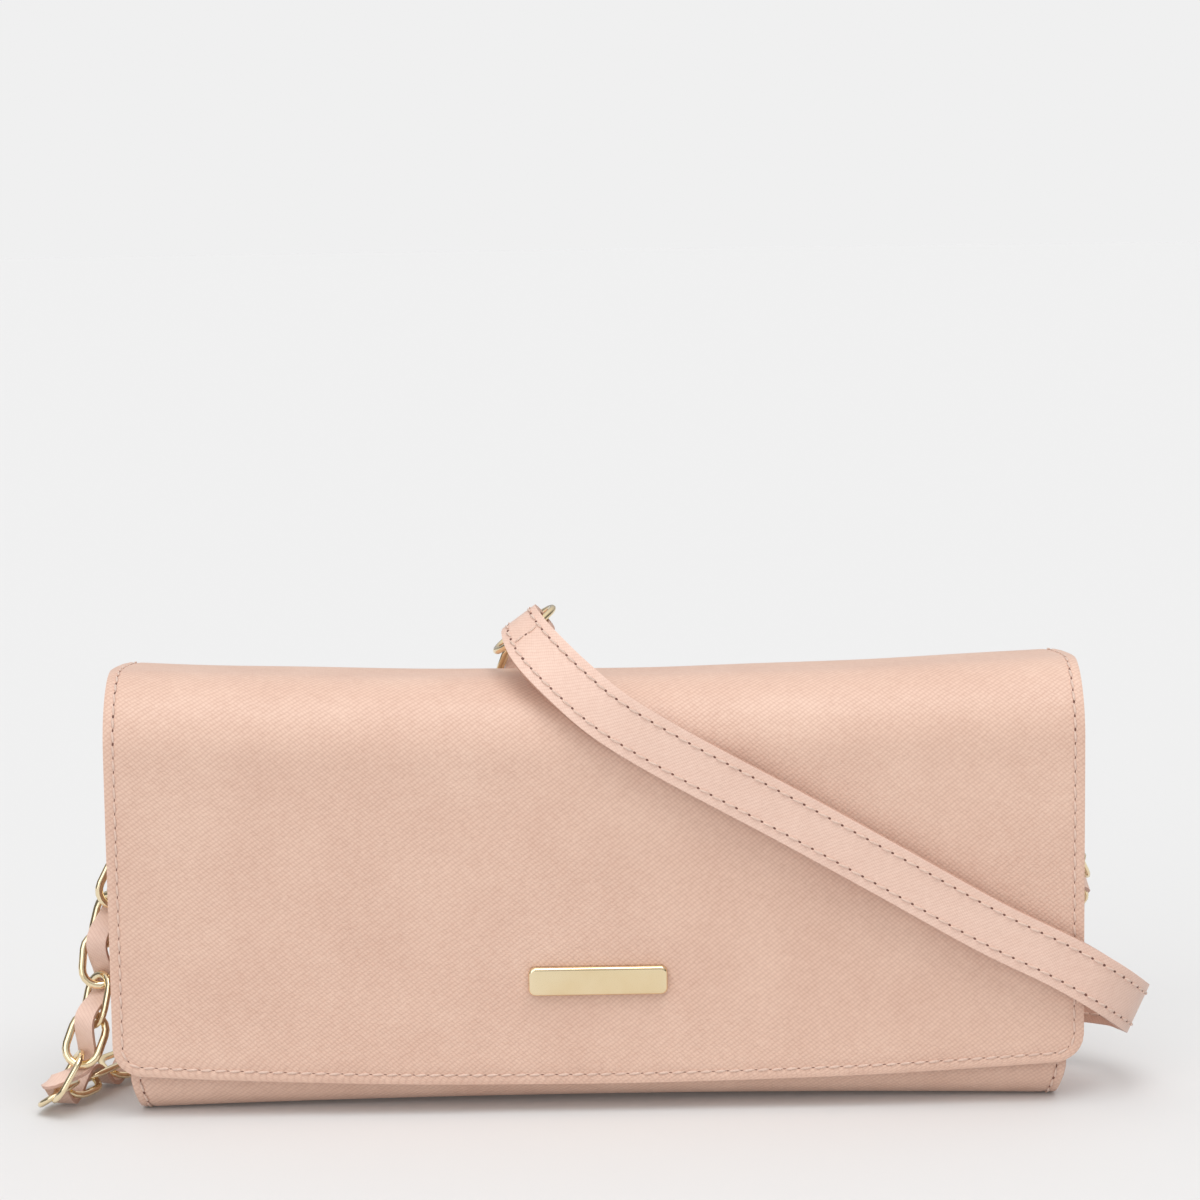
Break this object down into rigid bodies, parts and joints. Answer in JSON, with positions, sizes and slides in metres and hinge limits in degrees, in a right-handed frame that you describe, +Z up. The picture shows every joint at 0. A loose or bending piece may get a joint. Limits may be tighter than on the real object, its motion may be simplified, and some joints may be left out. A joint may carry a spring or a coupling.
{
  "type": "wristlet wallet",
  "caption": "Long flap wallet with zip pocket, card pockets and gussets, carried by a flat leather strap between woven chains.",
  "frame": {"origin": "centre of the underside of the body, on the surface that the wallet stands on", "axes": "+X to the right as seen from the front, -Y out of the flap's front, +Z up"},
  "size_m": [0.2732, 0.0763, 0.122],
  "materials": {
    "outer_leather": "cross-hatched coated leather",
    "lining_leather": "smooth matt",
    "gusset_leather": "smooth satin",
    "gold_metal": "polished pale gold plating",
    "steel": "plain",
    "board": "stiffener board",
    "zip_tape": "woven tape"
  },
  "bodies": {
    "wallet": {"back_panel": "outer_leather", "bottom_board": "board", "bottom_lining": "lining_leather", "back_lining": "lining_leather", "card_pocket_top": "lining_leather", "card_pocket_middle": "lining_leather", "card_pocket_bottom": "lining_leather", "gusset_left": "gusset_leather", "gusset_right": "gusset_leather", "zip_pocket": "lining_leather", "zip_tapes": "zip_tape", "zip_teeth": "gold_metal", "zip_end_stops": "gold_metal", "tab_left": "outer_leather", "tab_right": "outer_leather", "d_ring_left": "gold_metal", "d_ring_right": "gold_metal", "clasp_left": "gold_metal", "clasp_right": "gold_metal", "swivel_left": "gold_metal", "swivel_right": "gold_metal", "chain_left": "gold_metal", "chain_right": "gold_metal", "ribbon_left": "outer_leather", "ribbon_right": "outer_leather", "strap_ring_lower": "gold_metal", "ribbon_loop_right": "outer_leather"},
    "front": {"front_panel": "outer_leather", "front_lining": "lining_leather", "snap_socket": "gold_metal", "snap_socket_washer": "steel"},
    "flap": {"flap": "outer_leather", "flap_lining": "lining_leather", "snap_stud": "gold_metal", "snap_stud_washer": "steel", "plaque": "gold_metal", "plaque_washers": "steel", "leather_strap": "outer_leather", "strap_ring_upper": "gold_metal", "ribbon_loop_left": "outer_leather"},
    "slider": {"zip_slider": "gold_metal"},
    "puller": {"zip_puller": "gold_metal"},
    "gate_left": {"clasp_gate_left": "gold_metal"},
    "gate_right": {"clasp_gate_right": "gold_metal"}
  },
  "joints": [
    {"name": "flap_hinge", "type": "hinge", "parent": "wallet", "child": "flap", "pos_m": [0, 0.01381, 0.10381], "axis": [-1, 0, 0], "range_deg": [0, 130], "deforming": ["leather_strap", "chain_left", "ribbon_left"]},
    {"name": "front_spread", "type": "hinge", "parent": "wallet", "child": "front", "pos_m": [0, -0.008, 0.0008], "axis": [1, 0, 0], "range_deg": [0, 8], "deforming": ["gusset_left", "gusset_right"]},
    {"name": "zip_slide", "type": "slide", "parent": "wallet", "child": "slider", "axis": [-1, 0, 0], "range_m": [0, 0.176]},
    {"name": "puller_swing", "type": "hinge", "parent": "slider", "child": "puller", "pos_m": [0.092, 0, 0.0892], "axis": [0, 1, 0], "range_deg": [0, 120]},
    {"name": "gate_left_swing", "type": "hinge", "parent": "wallet", "child": "gate_left", "pos_m": [-0.1102, -0.00253, 0.07955], "axis": [-1, 0, 0], "range_deg": [0, 12], "stiffness_Nm_per_rad": 0.01},
    {"name": "gate_right_swing", "type": "hinge", "parent": "wallet", "child": "gate_right", "pos_m": [0.1102, -0.00253, 0.07955], "axis": [-1, 0, 0], "range_deg": [0, 12], "stiffness_Nm_per_rad": 0.01}
  ],
  "couplings": [
    {"joint": "front_spread", "follows": "flap_hinge", "ratio": 0.06}
  ]
}
